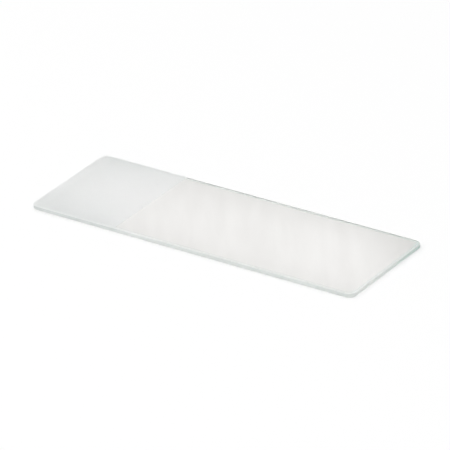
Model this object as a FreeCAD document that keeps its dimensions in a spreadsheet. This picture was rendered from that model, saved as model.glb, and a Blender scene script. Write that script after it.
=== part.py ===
import FreeCAD, Part
import math
import os
import Sketcher

# A glass microscope slide: one plate cut from sheet glass, with its edges ground all round, its corners
# dubbed, and the top face frosted at one end so that it can be written on.
#
# Millimetres, +Z up. The origin is the centre of the underside. +X runs along the slide, away from the
# frosted end, and +Y across it.

NODE = "glass_slide"

DIMENSIONS = (
    ("slide_length", "75", "overall, along X"),
    ("slide_width", "25", "overall, along Y"),
    ("slide_thickness", "1", "from the underside to the clear part of the top face"),
    ("corner_radius", "1.5", "radius of the dubbed corners, seen from above"),
    ("edge_bevel", "0.2", "width and height of the 45 degree bevel ground along both faces"),
    ("frosted_length", "20", "length of the frosted panel, from the end of the slide"),
    ("frost_depth", "0.02", "glass that the frosting takes off the top face"),
)

# How a sketch numbers the ends of a line or arc, its origin and its X axis.
START = 1
END = 2
ORIGIN = (-1, 1)
X_AXIS = -1

FACE_TOLERANCE = 1e-6


def add_dimensions(doc):
    """The sheet that drives the slide, with a row for each dimension's name, value and meaning."""
    sheet = doc.addObject("Spreadsheet::Sheet", "Dimensions")
    for row, (alias, value, meaning) in enumerate(DIMENSIONS, start=1):
        sheet.set(f"A{row}", alias)
        sheet.set(f"B{row}", value)
        sheet.set(f"C{row}", meaning)
        sheet.setAlias(f"B{row}", alias)
    doc.recompute()
    return sheet


def new_sketch(body, name):
    """An empty sketch on the body's own XY plane."""
    sketch = body.newObject("Sketcher::SketchObject", name)
    for feature in body.Origin.OriginFeatures:
        if feature.Role == "XY_Plane":
            sketch.AttachmentSupport = [(feature, "")]
    sketch.MapMode = "FlatFace"
    return sketch


def constrain(sketch, kind, *places):
    """A geometric constraint, such as Tangent."""
    sketch.addConstraint(Sketcher.Constraint(kind, *places))


def measure(sketch, kind, places, size, name, expression):
    """A named constraint that holds a size, tied to the sheet."""
    index = sketch.addConstraint(Sketcher.Constraint(kind, *places, size))
    sketch.renameConstraint(index, name)
    sketch.setExpression(f"Constraints.{name}", expression)


def draw_outline(sketch, sheet):
    """The slide seen from above: four sides centred on the origin, each tangent to the corner arcs."""
    half_length = sheet.slide_length / 2
    half_width = sheet.slide_width / 2
    radius = sheet.corner_radius
    side_end = half_length - radius
    end_end = half_width - radius

    # Anticlockwise from the front: each side, and the centre of the corner that follows it.
    runs = (
        ((-side_end, -half_width), (side_end, -half_width), (side_end, -end_end)),
        ((half_length, -end_end), (half_length, end_end), (side_end, end_end)),
        ((side_end, half_width), (-side_end, half_width), (-side_end, end_end)),
        ((-half_length, end_end), (-half_length, -end_end), (-side_end, -end_end)),
    )
    sides = []
    corners = []
    for turn, (start, end, centre) in enumerate(runs):
        side = Part.LineSegment(FreeCAD.Vector(*start), FreeCAD.Vector(*end))
        circle = Part.Circle(FreeCAD.Vector(*centre), FreeCAD.Vector(0, 0, 1), radius)
        first_angle = (turn - 1) * math.pi / 2
        corner = Part.ArcOfCircle(circle, first_angle, first_angle + math.pi / 2)
        sides.append(sketch.addGeometry(side, False))
        corners.append(sketch.addGeometry(corner, False))

    for turn, (side, corner) in enumerate(zip(sides, corners)):
        next_side = sides[(turn + 1) % len(sides)]
        constrain(sketch, "Tangent", side, END, corner, START)
        constrain(sketch, "Tangent", corner, END, next_side, START)
    for corner in corners[1:]:
        constrain(sketch, "Equal", corners[0], corner)

    front, right, back, left = sides
    constrain(sketch, "Horizontal", front)
    constrain(sketch, "Horizontal", back)
    constrain(sketch, "Vertical", right)
    constrain(sketch, "Vertical", left)
    constrain(sketch, "Symmetric", front, START, back, START, *ORIGIN)
    measure(
        sketch, "DistanceX", (left, START, right, START), 2 * half_length,
        "Length", "Dimensions.slide_length",
    )
    measure(
        sketch, "DistanceY", (front, START, back, START), 2 * half_width,
        "Width", "Dimensions.slide_width",
    )
    measure(
        sketch, "Radius", (corners[0],), radius,
        "CornerRadius", "Dimensions.corner_radius",
    )


def draw_frosted_panel(sketch, sheet):
    """The frosted panel seen from above: the full width of the slide, from its -X end to a square edge."""
    end_of_slide = -sheet.slide_length / 2
    edge_of_panel = end_of_slide + sheet.frosted_length
    half_width = sheet.slide_width / 2

    points = (
        (end_of_slide, -half_width),
        (edge_of_panel, -half_width),
        (edge_of_panel, half_width),
        (end_of_slide, half_width),
    )
    sides = []
    for turn, point in enumerate(points):
        next_point = points[(turn + 1) % len(points)]
        side = Part.LineSegment(FreeCAD.Vector(*point), FreeCAD.Vector(*next_point))
        sides.append(sketch.addGeometry(side, False))

    for turn, side in enumerate(sides):
        constrain(sketch, "Coincident", side, END, sides[(turn + 1) % len(sides)], START)
    front, panel_edge, back, slide_end = sides
    constrain(sketch, "Horizontal", front)
    constrain(sketch, "Horizontal", back)
    constrain(sketch, "Vertical", panel_edge)
    constrain(sketch, "Symmetric", slide_end, START, slide_end, END, X_AXIS)
    measure(
        sketch, "DistanceX", (front, START, *ORIGIN), -end_of_slide,
        "SlideEnd", "Dimensions.slide_length / 2",
    )
    measure(
        sketch, "DistanceX", (front, START, front, END), edge_of_panel - end_of_slide,
        "PanelLength", "Dimensions.frosted_length",
    )
    measure(
        sketch, "DistanceY", (panel_edge, START, panel_edge, END), 2 * half_width,
        "PanelWidth", "Dimensions.slide_width",
    )


def level_faces(shape, height):
    """The names of a shape's level faces at a height."""
    names = []
    for number, face in enumerate(shape.Faces, start=1):
        box = face.BoundBox
        if abs(box.ZMin - height) < FACE_TOLERANCE and abs(box.ZMax - height) < FACE_TOLERANCE:
            names.append(f"Face{number}")
    return names


def build_slide(doc, sheet):
    """The slide: the plate, the bevels ground round both its faces, and the panel frosted into the top."""
    body = doc.addObject("PartDesign::Body", "GlassSlide")
    body.Label = NODE

    outline = new_sketch(body, "SlideOutline")
    draw_outline(outline, sheet)
    plate = body.newObject("PartDesign::Pad", "Plate")
    plate.Profile = outline
    plate.setExpression("Length", "Dimensions.slide_thickness")
    doc.recompute()

    ground = body.newObject("PartDesign::Chamfer", "GroundEdges")
    ground.Base = (plate, level_faces(plate.Shape, 0) + level_faces(plate.Shape, sheet.slide_thickness))
    ground.setExpression("Size", "Dimensions.edge_bevel")

    panel = new_sketch(body, "FrostedPanel")
    panel.setExpression("AttachmentOffset.Base.z", "Dimensions.slide_thickness")
    draw_frosted_panel(panel, sheet)
    frosted = body.newObject("PartDesign::Pocket", "FrostedEnd")
    frosted.Profile = panel
    frosted.setExpression("Length", "Dimensions.frost_depth")
    body.Tip = frosted
    doc.recompute()
    return body


def check_steps(body):
    """Stops if the grinding or the frosting took no glass away."""
    solids = [item for item in body.Group if item.isDerivedFrom("PartDesign::Feature")]
    for before, after in zip(solids, solids[1:]):
        if after.Shape.Volume >= before.Shape.Volume:
            raise RuntimeError(f"{after.Label} takes no glass away")


def check_document(doc, body):
    """Stops if anything failed to recompute, or the slide isn't one valid solid."""
    for item in doc.Objects:
        if "Invalid" in item.State or "Error" in item.State:
            raise RuntimeError(f"{item.Label} failed: {item.State}")
    shape = body.Shape
    if shape.isNull() or not shape.isValid() or len(shape.Solids) != 1:
        raise RuntimeError(f"{body.Label} isn't one valid solid")


def main():
    doc = FreeCAD.newDocument("MicroscopeSlide")
    slide = build_slide(doc, add_dimensions(doc))
    check_document(doc, slide)
    check_steps(slide)
    os.makedirs("parts", exist_ok=True)
    slide.Shape.exportStep(f"parts/{slide.Label}.step")
    box = slide.Shape.BoundBox
    print(f"{slide.Label}: {box.XLength:.3f} x {box.YLength:.3f} x {box.ZLength:.3f} mm")
    print(f"{slide.Label}: {slide.Shape.Volume:.2f} cubic mm of glass")


main()
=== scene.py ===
import math

import bmesh
import bpy
from mathutils import Matrix, Vector, noise


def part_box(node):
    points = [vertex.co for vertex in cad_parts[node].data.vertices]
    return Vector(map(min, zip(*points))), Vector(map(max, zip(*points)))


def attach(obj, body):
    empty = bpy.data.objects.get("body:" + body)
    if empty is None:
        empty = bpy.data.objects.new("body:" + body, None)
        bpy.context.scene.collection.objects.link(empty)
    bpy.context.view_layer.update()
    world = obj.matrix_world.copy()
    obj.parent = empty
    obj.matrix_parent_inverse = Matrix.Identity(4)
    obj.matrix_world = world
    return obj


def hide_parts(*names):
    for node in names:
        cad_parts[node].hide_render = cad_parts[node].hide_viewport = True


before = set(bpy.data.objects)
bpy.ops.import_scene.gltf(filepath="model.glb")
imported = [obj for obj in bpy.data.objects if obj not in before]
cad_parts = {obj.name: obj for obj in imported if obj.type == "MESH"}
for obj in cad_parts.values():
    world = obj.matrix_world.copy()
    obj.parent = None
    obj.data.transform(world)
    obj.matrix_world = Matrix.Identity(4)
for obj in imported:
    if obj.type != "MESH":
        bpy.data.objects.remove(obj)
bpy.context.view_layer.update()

# A glass microscope slide on a pale table: clear polished faces, a frosted panel at the -X end, and
# edges ground all round. Metres, in the CAD frame: origin under the slide's centre, +X away from the
# frosted end, +Z up.

NODE = "glass_slide"
LOW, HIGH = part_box(NODE)
HALF_LENGTH = (HIGH.x - LOW.x) / 2
HALF_WIDTH = (HIGH.y - LOW.y) / 2
THICKNESS = HIGH.z - LOW.z

MM = 0.001
CORNER_RADIUS = 1.5 * MM
EDGE_BEVEL = 0.2 * MM
FLAT_HALF = THICKNESS / 2 - EDGE_BEVEL      # half the height of the ground flat between the bevels
FROSTED_LENGTH = 20 * MM
FROST_DEPTH = 0.02 * MM
FROST_SLOPE = 0.03 * MM                     # how far the step at the panel's inner edge takes to come up
PANEL_EDGE = FROSTED_LENGTH - HALF_LENGTH   # X of the top of that step
STEP_MIDDLE = PANEL_EDGE - FROST_SLOPE / 2

# The mesh.
CLEAR, FROSTED, GROUND = range(3)           # the material slots
ARRIS_RADIUS = 0.06 * MM                    # the rounding that grinding leaves where two flats meet
ARRIS_STEPS = 4
CORNER_STEPS = 14
RIM_PITCH = 0.5 * MM                        # spacing of the rim's columns along the straight sides

# Grinding leaves the rim a little inside its true section, by an amount that wanders.
GRINDING_DRIFT = 0.012 * MM                 # at most
DRIFT_SHARE = 0.4
DRIFT_WAVES = 160                           # to a metre
DRIFT_ROW_STEP = 0.37                       # how far apart the rim's rows are in the noise
RIPPLE_SHARE = 0.1
RIPPLE_WAVES = 900
RIPPLE_ROW_STEP = 0.9
RIPPLE_START = 20                           # keeps the ripple apart from the drift in the noise

GLASS_IOR = 1.52

# What wiping, drawing, blasting and grinding leave on the glass. The lumps of a noise have a size each
# way, or there are so many of them to a metre. A depth is how deep the bumps are.
SMEAR_SIZE = (20 * MM, 3 * MM, 20 * MM)
WIPED_AT = math.radians(125)                # the way a cloth went over the clear faces, from +X
DRAW_SIZE = (33 * MM, 4.5 * MM, 33 * MM)    # the slight waves of drawn sheet glass, along the slide
DRAW_DEPTH = 0.002 * MM
CLOUD_LUMPS = 260
GRAIN_LUMPS = 3600                          # the frosted panel's pits
GRAIN_DEPTH = 0.03 * MM
PATCH_LUMPS = 420                           # how evenly the edges are ground
LINE_SIZE = (1.1 * MM, 0.04 * MM, 1)        # the lines of grinding, along the edge and up it
LINE_DEPTH = 0.004 * MM

# How far in each painted shade and painted light on the glass reaches, from where it starts.
EDGE_SHADE = 7 * MM
CORNER_BLEND = 4 * MM                       # rounds that painted shade off where an end meets a side
# painted shade on the clear glass, darker towards the frosted panel
PANEL_SHADE = 25 * MM
PANEL_LINE = 0.6 * MM, 1.2 * MM             # how far the painted shade line beside the panel is full, and its end
# how far a painted dark reflection reaches from the back corner of the +X end
CORNER_REFLECTION = 11 * MM
# A slightly rough line beside the rim, coloured with painted shade: where it starts and ends, how far it
# wanders, and its lumps to a metre.
HAZE_AND_SHADE_START, HAZE_AND_SHADE_END = 0.2 * MM, 0.7 * MM
HAZE_AND_SHADE_WANDER = 0.2 * MM
HAZE_AND_SHADE_LUMPS = 150
# the frosted panel's painted pale strip along its end, and its painted shade along its sides
FROST_BORDER = 3 * MM
BEVEL_FADE = 0.02 * MM                      # half the width of the change from the flat's painted shade to a bevel's painted light
PANEL_FADE = MM                             # the same, from the panel's part of the edge to the rest
END_SHADE = -1.5 * MM, 10 * MM              # Y where the +X end's painted shade towards the back starts and ends

# Colours as red, green and blue: each pair is the dark and the bright end of a blend, which painted
# light and shade move along together with the glass's own marks.
# the clear glass: painted shade and real smears move it between these
CLEAR_TONES = (0.85, 0.846, 0.835), (0.975, 0.97, 0.961)
# painted shade of the line beside the rim; the pair after it is that shade along the +X end, at its back
# and at its front
RIM_LINE_SHADE = (0.86, 0.87, 0.855)
END_LINE_SHADES = (0.77, 0.89, 0.875), (0.885, 0.935, 0.93)
# the frosted panel: painted light and shade and its real clouds and pits move it between these
FROSTED_TONES = (0.86, 0.875, 0.876), (0.985, 0.986, 0.988)
# the ground flat, painted darker and greener as shade towards the dark end
FLAT_TONES = (0.48, 0.614, 0.578), (0.84, 0.85, 0.835)
PANEL_FLAT_TONE = (0.474, 0.547, 0.526)     # the dark end of the flat's painted shade, beside the panel
# the bevels, painted paler as the light from above falls on them
BEVEL_TONES = (0.79, 0.83, 0.81), (0.968, 0.976, 0.966)

# The studio.
FLOOR_GAP = 0.01 * MM                       # air under the slide
FLOOR_HALF = 3.0
FLOOR_TONE = 0.98
# The sky's stops, each the sine of its height over the horizon, and its level.
SKY = ((0.06, 1.0), (0.2, 0.55), (0.435, 0.5), (0.5, 0.8), (0.85, 0.9), (1.0, 1.0))
SOFTBOX_PLACE = (-0.12, -0.25, 1.05)
SOFTBOX_SIZE = (1.8, 1.4)
SOFTBOX_WATTS = 4.2
LIGHT_BOUNCES = 128                         # lets light run the length of the plate between its faces
FLOOR_BOUNCES = 16

VIEW_AZIMUTH = 35.3
VIEW_ELEVATION = 27.4
VIEW_ROLL = -2.5
VIEW_DISTANCE = 1.09
LENS = 450
SENSOR = 36


# ---------------------------------------------------------------- the slide's mesh

def spaced(marks, pitch):
    """The marks, in order, with evenly spaced values between them about a pitch apart."""
    values = [marks[0]]
    for start, end in zip(marks, marks[1:]):
        count = max(1, round((end - start) / pitch))
        values += [start + (end - start) * step / count for step in range(1, count + 1)]
    return values


def corner_columns(centre_x, first_angle):
    """The rim's columns round one of the two front corners, without the ends of the arc."""
    centre = Vector((centre_x, CORNER_RADIUS - HALF_WIDTH))
    columns = []
    for step in range(1, CORNER_STEPS):
        angle = first_angle + math.pi / 2 * step / CORNER_STEPS
        normal = Vector((math.cos(angle), math.sin(angle)))
        columns.append((centre + normal * CORNER_RADIUS, normal))
    return columns


def mirrored(columns, signs):
    """Columns on the opposite side of the slide, in the order that goes on anticlockwise."""
    return [(place * signs, normal * signs) for place, normal in reversed(columns)]


def rim_columns():
    """The rim's columns, each its point on the outline seen from above and the outward normal there.

    They come as four runs that follow each other anticlockwise: front, right, back and left. The front
    and the back run take in the corners.
    """
    corner_x = HALF_LENGTH - CORNER_RADIUS
    corner_y = HALF_WIDTH - CORNER_RADIUS
    along = spaced([-corner_x, PANEL_EDGE - FROST_SLOPE, PANEL_EDGE, corner_x], RIM_PITCH)
    across = spaced([-corner_y, corner_y], RIM_PITCH)

    front = corner_columns(-corner_x, math.pi)
    front += [(Vector((x, -HALF_WIDTH)), Vector((0, -1))) for x in along]
    front += corner_columns(corner_x, -math.pi / 2)
    right = [(Vector((HALF_LENGTH, y)), Vector((1, 0))) for y in across]
    back = mirrored(front, Vector((1, -1)))
    left = mirrored(right, Vector((-1, 1)))
    return front, right, back, left


def rounded(corner, before, after):
    """The points of a slightly rounded corner of the rim's section."""
    reach = ARRIS_RADIUS * math.tan(math.pi / 8)
    start = corner + (before - corner).normalized() * reach
    end = corner + (after - corner).normalized() * reach
    points = []
    for step in range(ARRIS_STEPS + 1):
        t = step / ARRIS_STEPS
        points.append(start.lerp(corner, t).lerp(corner.lerp(end, t), t))
    return points


def rim_section(top_drop):
    """The rim's section from the underside to the top face, as inset from the outline and height."""
    top = THICKNESS - top_drop
    under = Vector((2 * EDGE_BEVEL, 0))
    bevel_low = Vector((EDGE_BEVEL, 0))
    flat_low = Vector((0, EDGE_BEVEL))
    flat_high = Vector((0, THICKNESS - EDGE_BEVEL))
    bevel_high = Vector((EDGE_BEVEL - top_drop, top))
    over = Vector((2 * EDGE_BEVEL, top))
    corners = [under, bevel_low, flat_low, flat_high, bevel_high, over]
    points = []
    for before, corner, after in zip(corners, corners[1:], corners[2:]):
        points += rounded(corner, before, after)
    return points


def ground_away(place, row):
    """How far a point of the rim lies inside the true section, from the grinding."""
    drift_at = (place.x * DRIFT_WAVES, place.y * DRIFT_WAVES, row * DRIFT_ROW_STEP)
    ripple_at = (place.x * RIPPLE_WAVES, place.y * RIPPLE_WAVES, RIPPLE_START + row * RIPPLE_ROW_STEP)
    drift = noise.noise(Vector(drift_at))
    ripple = noise.noise(Vector(ripple_at))
    return GRINDING_DRIFT * (0.5 + DRIFT_SHARE * drift + RIPPLE_SHARE * ripple)


def running_lengths(points):
    """How far each point is along the line through them all."""
    lengths = [0.0]
    for here, there in zip(points, points[1:]):
        lengths.append(lengths[-1] + (there - here).length)
    return lengths


def add_points(mesh, place, normal):
    """The points of one column of the rim, from the underside up."""
    section = rim_section(FROST_DEPTH if place.x < STEP_MIDDLE else 0)
    points = []
    for row, point in enumerate(section):
        spot = place - normal * (point.x + ground_away(place, row))
        points.append(mesh.verts.new((spot.x, spot.y, point.y)))
    return points


def add_rim(mesh, rim, places):
    """The ground edge, from the rim's columns and their places on the outline.

    Its map runs along the edge and up the section, in metres.
    """
    run_uv = mesh.loops.layers.uv["run"]
    along = running_lengths(places + places[:1])
    upward = running_lengths(rim_section(0))
    for index, column in enumerate(rim):
        following = rim[(index + 1) % len(rim)]
        for row in range(len(column) - 1):
            face = mesh.faces.new((column[row], following[row], following[row + 1], column[row + 1]))
            face.material_index = GROUND
            face.smooth = True
            corners = ((index, row), (index + 1, row), (index + 1, row + 1), (index, row + 1))
            for loop, (step, up) in zip(face.loops, corners):
                loop[run_uv].uv = (along[step], upward[up])


def add_level_faces(mesh, front, right, back, left):
    """The underside and the top face, each as flat strips that cross the slide from front to back."""
    run_uv = mesh.loops.layers.uv["run"]
    back = back[::-1]
    outlines = [[back[0], *left, front[0]], [front[-1], *right, back[-1]]]
    outlines += [[a, b, c, d] for a, b, c, d in zip(front, front[1:], back[1:], back)]
    for outline in outlines:
        under = mesh.faces.new([column[0] for column in reversed(outline)])
        over = mesh.faces.new([column[-1] for column in outline])
        under.material_index = CLEAR
        clear = min(column[-1].co.x for column in outline) > STEP_MIDDLE
        over.material_index = CLEAR if clear else FROSTED
        for face in (under, over):
            for loop in face.loops:
                loop[run_uv].uv = loop.vert.co.xy


def build_slide():
    """The slide as one closed mesh: the rim, and the two level faces."""
    runs = rim_columns()
    mesh = bmesh.new()
    mesh.loops.layers.uv.new("run")
    sides = [[add_points(mesh, place, normal) for place, normal in run] for run in runs]
    places = [place for run in runs for place, normal in run]
    add_rim(mesh, sum(sides, []), places)
    add_level_faces(mesh, *sides)

    data = bpy.data.meshes.new("slide_glass")
    mesh.to_mesh(data)
    mesh.free()
    piece = bpy.data.objects.new("slide_glass", data)
    bpy.context.scene.collection.objects.link(piece)
    return piece


# ---------------------------------------------------------------- materials

def new_material(name, transmission=1):
    material = bpy.data.materials.new(name)
    material.use_nodes = True
    tree = material.node_tree
    shader = tree.nodes["Principled BSDF"]
    shader.inputs["IOR"].default_value = GLASS_IOR
    shader.inputs["Transmission Weight"].default_value = transmission
    return material, tree, shader


def node(tree, kind, inputs=None, **settings):
    """A new node. Each of its inputs is another node's output, which is linked, or a plain value."""
    made = tree.nodes.new(kind)
    for key, value in settings.items():
        setattr(made, key, value)
    for key, value in (inputs or {}).items():
        if isinstance(value, bpy.types.NodeSocket):
            tree.links.new(value, made.inputs[key])
        else:
            made.inputs[key].default_value = value
    return made


def place_on(tree):
    """Where a point lies on the slide, in metres."""
    return node(tree, "ShaderNodeTexCoord").outputs["Object"]


def split_up(tree, vector):
    """The X and the Y of a vector."""
    split = node(tree, "ShaderNodeSeparateXYZ", {"Vector": vector})
    return split.outputs["X"], split.outputs["Y"]


def noise_at(tree, vector, scale, detail=2.0, roughness=0.5):
    """Noise with about scale lumps to a metre."""
    inputs = {"Vector": vector, "Scale": scale, "Detail": detail, "Roughness": roughness}
    return node(tree, "ShaderNodeTexNoise", inputs).outputs["Fac"]


def drawn_out(tree, vector, sizes, turn=0.0):
    """A place for noise of scale 1, whose lumps then have these sizes in metres, turned about Z."""
    inputs = {"Vector": vector, "Scale": sizes, "Rotation": (0, 0, turn)}
    return node(tree, "ShaderNodeMapping", inputs, vector_type="TEXTURE").outputs["Vector"]


def ranged(tree, value, low, high, start=0.3, end=0.7):
    """Runs from low to high while the value goes from start to end, and stays there beyond them.

    Without start and end, it takes in most of a noise.
    """
    inputs = {"Value": value, "From Min": start, "From Max": end, "To Min": low, "To Max": high}
    return node(tree, "ShaderNodeMapRange", inputs).outputs["Result"]


def maths(tree, operation, *values):
    return node(tree, "ShaderNodeMath", dict(enumerate(values)), operation=operation).outputs["Value"]


def added(tree, values):
    """The sum of several values."""
    total = values[0]
    for value in values[1:]:
        total = maths(tree, "ADD", total, value)
    return total


def distance(tree, vector, point):
    inputs = {0: vector, 1: point}
    return node(tree, "ShaderNodeVectorMath", inputs, operation="DISTANCE").outputs["Value"]


def blended(tree, factor, low, high):
    """A colour between two, by the factor. Each is a node's output, or red, green and blue."""
    inputs = {"Factor": factor}
    for key, colour in (("A", low), ("B", high)):
        inputs[key] = (*colour, 1) if isinstance(colour, tuple) else colour
    return node(tree, "ShaderNodeMix", inputs, data_type="RGBA").outputs["Result"]


def bumped(tree, height, depth, strength=1):
    inputs = {"Height": height, "Distance": depth, "Strength": strength}
    return node(tree, "ShaderNodeBump", inputs).outputs["Normal"]


def finish_shader(tree, shader, colour, roughness, normal):
    for key, value in (("Base Color", colour), ("Roughness", roughness), ("Normal", normal)):
        tree.links.new(value, shader.inputs[key])


def depths(tree, along, across):
    """How far a point lies in from the nearer end and from the nearer side, in metres."""
    from_end = maths(tree, "SUBTRACT", HALF_LENGTH, maths(tree, "ABSOLUTE", along))
    from_side = maths(tree, "SUBTRACT", HALF_WIDTH, maths(tree, "ABSOLUTE", across))
    return from_end, from_side


def at_clear_end(tree, along):
    """1 at the slide's +X end, coming up from 0 round the corners there."""
    return ranged(tree, along, 0, 1, HALF_LENGTH - CORNER_RADIUS, HALF_LENGTH)


def clear_glass():
    """Polished sheet glass, with faint smears from a wiping cloth and a slightly rough line beside the
    rim.

    Besides the smears, its colour carries painted shade: darker near the rim, beside the frosted panel
    and towards the back, and darkest at the corner between the back and the +X end, where a dark
    reflection is painted. The rim line's painted shade is greener along that end, the more so towards
    its back.
    """
    material, tree, shader = new_material("clear_glass")
    place = place_on(tree)
    along, across = split_up(tree, place)
    depth = maths(tree, "SMOOTH_MIN", *depths(tree, along, across), CORNER_BLEND)
    smears = noise_at(tree, drawn_out(tree, place, SMEAR_SIZE, WIPED_AT), 1, 3)
    to_corner = distance(tree, place, (HALF_LENGTH, HALF_WIDTH, THICKNESS))
    # Real smears, with painted shade near the rim, beside the panel and towards the back, and a painted
    # dark reflection at the back corner of the +X end.
    tone = added(tree, (
        0.49,
        ranged(tree, depth, 0, 0.25, 0, EDGE_SHADE),
        ranged(tree, smears, 0, 0.3),
        ranged(tree, along, -0.06, 0, PANEL_EDGE, PANEL_EDGE + PANEL_SHADE),
        ranged(tree, along, -0.05, 0, PANEL_EDGE + PANEL_LINE[0], PANEL_EDGE + PANEL_LINE[1]),
        # painted dark reflection at the back corner of the +X end
        ranged(tree, to_corner, -0.85, 0, 0, CORNER_REFLECTION),
        ranged(tree, across, 0, -0.1, 0, HALF_WIDTH),
    ))
    # A slightly rough line beside the rim; its colour is painted shade, greener along the +X end and
    # darker towards that end's back.
    wander = maths(tree, "MULTIPLY", noise_at(tree, place, HAZE_AND_SHADE_LUMPS), HAZE_AND_SHADE_WANDER)
    haze_and_shade = ranged(tree, maths(tree, "SUBTRACT", depth, wander), 1, 0, HAZE_AND_SHADE_START, HAZE_AND_SHADE_END)
    end_line_shade = blended(tree, ranged(tree, across, 1, 0, *END_SHADE), *END_LINE_SHADES)
    rim_line_shade = blended(tree, at_clear_end(tree, along), RIM_LINE_SHADE, end_line_shade)
    colour = blended(tree, haze_and_shade, blended(tree, tone, *CLEAR_TONES), rim_line_shade)
    wiped = ranged(tree, smears, 0, 0.03, 0.5, 0.8)
    roughness = maths(tree, "MAXIMUM", wiped, maths(tree, "MULTIPLY", haze_and_shade, 0.1))
    draw = noise_at(tree, drawn_out(tree, place, DRAW_SIZE), 1, 1)
    finish_shader(tree, shader, colour, roughness, bumped(tree, draw, DRAW_DEPTH))
    return material


def frosted_glass():
    """The blasted panel, cloudy and finely pitted.

    Painted light and shade make it whitest along the slide's end, and paler towards the clear glass, the
    back and its middle than along its sides.
    """
    material, tree, shader = new_material("frosted_glass", transmission=0.85)
    place = place_on(tree)
    along, across = split_up(tree, place)
    from_end, from_side = depths(tree, along, across)
    clouds = noise_at(tree, place, CLOUD_LUMPS, 4, 0.6)
    grain = noise_at(tree, place, GRAIN_LUMPS, 4, 0.7)
    # Painted light and shade, with the panel's real clouds and pits.
    tone = added(tree, (
        ranged(tree, from_end, 0, 0.4, 0, FROSTED_LENGTH),
        ranged(tree, from_end, 0.7, 0, 0, FROST_BORDER),
        ranged(tree, across, -0.22, 0.32, -HALF_WIDTH, HALF_WIDTH),
        ranged(tree, from_side, 0, 0.5, 0, HALF_WIDTH),
        ranged(tree, from_side, -0.22, 0, 0, FROST_BORDER),
        ranged(tree, clouds, 0, 0.1),
        ranged(tree, grain, -0.15, 0.25),
    ))
    colour = blended(tree, tone, *FROSTED_TONES)
    roughness = ranged(tree, clouds, 0.5, 0.62)
    finish_shader(tree, shader, colour, roughness, bumped(tree, grain, GRAIN_DEPTH, 0.8))
    return material


def ground_glass():
    """The ground edge, with lines along it: the bevels are painted pale, as light from above falls on
    them, and the flat between is painted darker and greener as shade.

    The flat's painted shade is darker and greyer at the sides of the frosted panel. The bevels' painted
    light is paler at both ends. All of it is painted darkest towards the back of the +X end.
    """
    material, tree, shader = new_material("ground_glass", transmission=0.5)
    run = node(tree, "ShaderNodeUVMap", uv_map="run").outputs["UV"]
    up = split_up(tree, run)[1]
    middle = running_lengths(rim_section(0))[-1] / 2
    from_middle = maths(tree, "ABSOLUTE", maths(tree, "SUBTRACT", up, middle))
    bevel = ranged(tree, from_middle, 0, 1, FLAT_HALF - BEVEL_FADE, FLAT_HALF + BEVEL_FADE)
    lines = noise_at(tree, drawn_out(tree, run, LINE_SIZE), 1, 3, 0.6)
    place = place_on(tree)
    along, across = split_up(tree, place)
    on_end = at_clear_end(tree, along)
    patches = noise_at(tree, place, PATCH_LUMPS, 3, 0.6)
    # The flat's painted shade, with real patches of grinding.
    flat_tone = added(tree, (
        0.786,
        ranged(tree, patches, 0, 0.2),
        ranged(tree, along, 0, -0.27, -HALF_LENGTH, CORNER_RADIUS - HALF_LENGTH),
        ranged(tree, along, 0, 0.27, PANEL_EDGE - PANEL_FADE, PANEL_EDGE + PANEL_FADE),
        maths(tree, "MULTIPLY", on_end, ranged(tree, across, 0, -0.85, *END_SHADE)),
    ))
    # The bevels' painted light, with real patches of grinding.
    bevel_tone = added(tree, (
        0.46,
        ranged(tree, patches, 0, 0.27),
        ranged(tree, along, 0.3, 0, -HALF_LENGTH, CORNER_RADIUS - HALF_LENGTH),
        maths(tree, "MULTIPLY", on_end, ranged(tree, across, 0.5, -0.5, *END_SHADE)),
    ))
    # Beside the panel the flat's painted shade turns greyer.
    shaded_flat, lit_flat = FLAT_TONES
    beside_panel = ranged(tree, along, 1, 0, PANEL_EDGE - PANEL_FADE, PANEL_EDGE + PANEL_FADE)
    shaded_flat = blended(tree, beside_panel, shaded_flat, PANEL_FLAT_TONE)
    flat_colour = blended(tree, flat_tone, shaded_flat, lit_flat)
    colour = blended(tree, bevel, flat_colour, blended(tree, bevel_tone, *BEVEL_TONES))
    roughness = ranged(tree, lines, 0.28, 0.55)
    finish_shader(tree, shader, colour, roughness, bumped(tree, lines, LINE_DEPTH, 0.4))
    return material


# ---------------------------------------------------------------- studio

def build_floor():
    mesh = bpy.data.meshes.new("floor")
    corners = ((-1, -1), (1, -1), (1, 1), (-1, 1))
    outline = [(x * FLOOR_HALF, y * FLOOR_HALF, -FLOOR_GAP) for x, y in corners]
    mesh.from_pydata(outline, [], [(0, 1, 2, 3)])
    floor = bpy.data.objects.new("floor", mesh)
    bpy.context.scene.collection.objects.link(floor)
    material = bpy.data.materials.new("floor")
    material.use_nodes = True
    shader = material.node_tree.nodes["Principled BSDF"]
    shader.inputs["Base Color"].default_value = (FLOOR_TONE, FLOOR_TONE, FLOOR_TONE, 1)
    shader.inputs["Roughness"].default_value = 1
    shader.inputs["Specular IOR Level"].default_value = 0
    mesh.materials.append(material)


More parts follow.
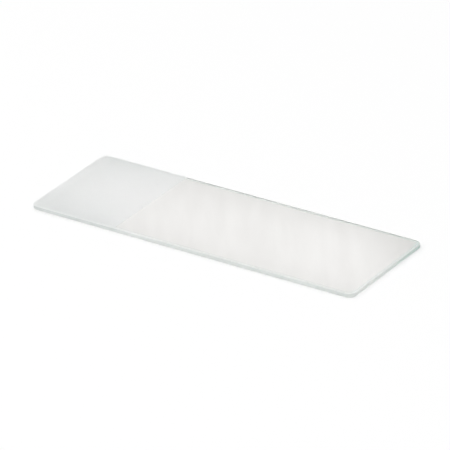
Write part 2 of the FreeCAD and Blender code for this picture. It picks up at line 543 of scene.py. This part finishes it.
def build_world():
    """Soft light from all round: white at the horizon, a greyer band above it, then pale to the top."""
    world = bpy.data.worlds.new("studio")
    bpy.context.scene.world = world
    world.use_nodes = True
    tree = world.node_tree
    direction = node(tree, "ShaderNodeTexCoord").outputs["Generated"]
    height = node(tree, "ShaderNodeSeparateXYZ", {"Vector": direction}).outputs["Z"]
    ramp = node(tree, "ShaderNodeValToRGB", {"Fac": height})
    stops = ramp.color_ramp.elements
    stops.remove(stops[1])
    for index, (position, level) in enumerate(SKY):
        stop = stops[0] if index == 0 else stops.new(position)
        stop.position = position
        stop.color = (level, level, level, 1)
    background = tree.nodes["Background"]
    background.inputs["Strength"].default_value = 1
    tree.links.new(ramp.outputs["Color"], background.inputs["Color"])


def build_lights():
    light = bpy.data.lights.new("softbox", "AREA")
    light.shape = "RECTANGLE"
    light.size, light.size_y = SOFTBOX_SIZE
    light.energy = SOFTBOX_WATTS
    softbox = bpy.data.objects.new("softbox", light)
    softbox.location = SOFTBOX_PLACE
    softbox.rotation_euler = (-softbox.location).to_track_quat("-Z", "Y").to_euler()
    bpy.context.scene.collection.objects.link(softbox)


def build_camera():
    centre = Vector((0, 0, THICKNESS / 2))
    azimuth = math.radians(VIEW_AZIMUTH)
    elevation = math.radians(VIEW_ELEVATION)
    back = Vector((
        math.sin(azimuth) * math.cos(elevation),
        -math.cos(azimuth) * math.cos(elevation),
        math.sin(elevation),
    ))
    data = bpy.data.cameras.new("camera")
    data.lens = LENS
    data.sensor_width = SENSOR
    camera = bpy.data.objects.new("camera", data)
    bpy.context.scene.collection.objects.link(camera)
    place = Matrix.Translation(centre + back * VIEW_DISTANCE)
    aim = (-back).to_track_quat("-Z", "Y").to_matrix().to_4x4()
    camera.matrix_world = place @ aim @ Matrix.Rotation(math.radians(VIEW_ROLL), 4, "Z")
    bpy.context.scene.camera = camera


def set_light_paths():
    """Lets light pass through the glass to the floor and back as often as it really does."""
    cycles = bpy.context.scene.cycles
    cycles.blur_glossy = 0
    cycles.max_bounces = LIGHT_BOUNCES
    cycles.transmission_bounces = LIGHT_BOUNCES
    cycles.glossy_bounces = LIGHT_BOUNCES
    cycles.diffuse_bounces = FLOOR_BOUNCES


slide = build_slide()
for material in (clear_glass(), frosted_glass(), ground_glass()):   # in the order of the slots
    slide.data.materials.append(material)
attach(slide, "root")
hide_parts(NODE)

build_floor()
build_world()
build_lights()
build_camera()
set_light_paths()
bpy.context.scene.view_settings.view_transform = "Standard"
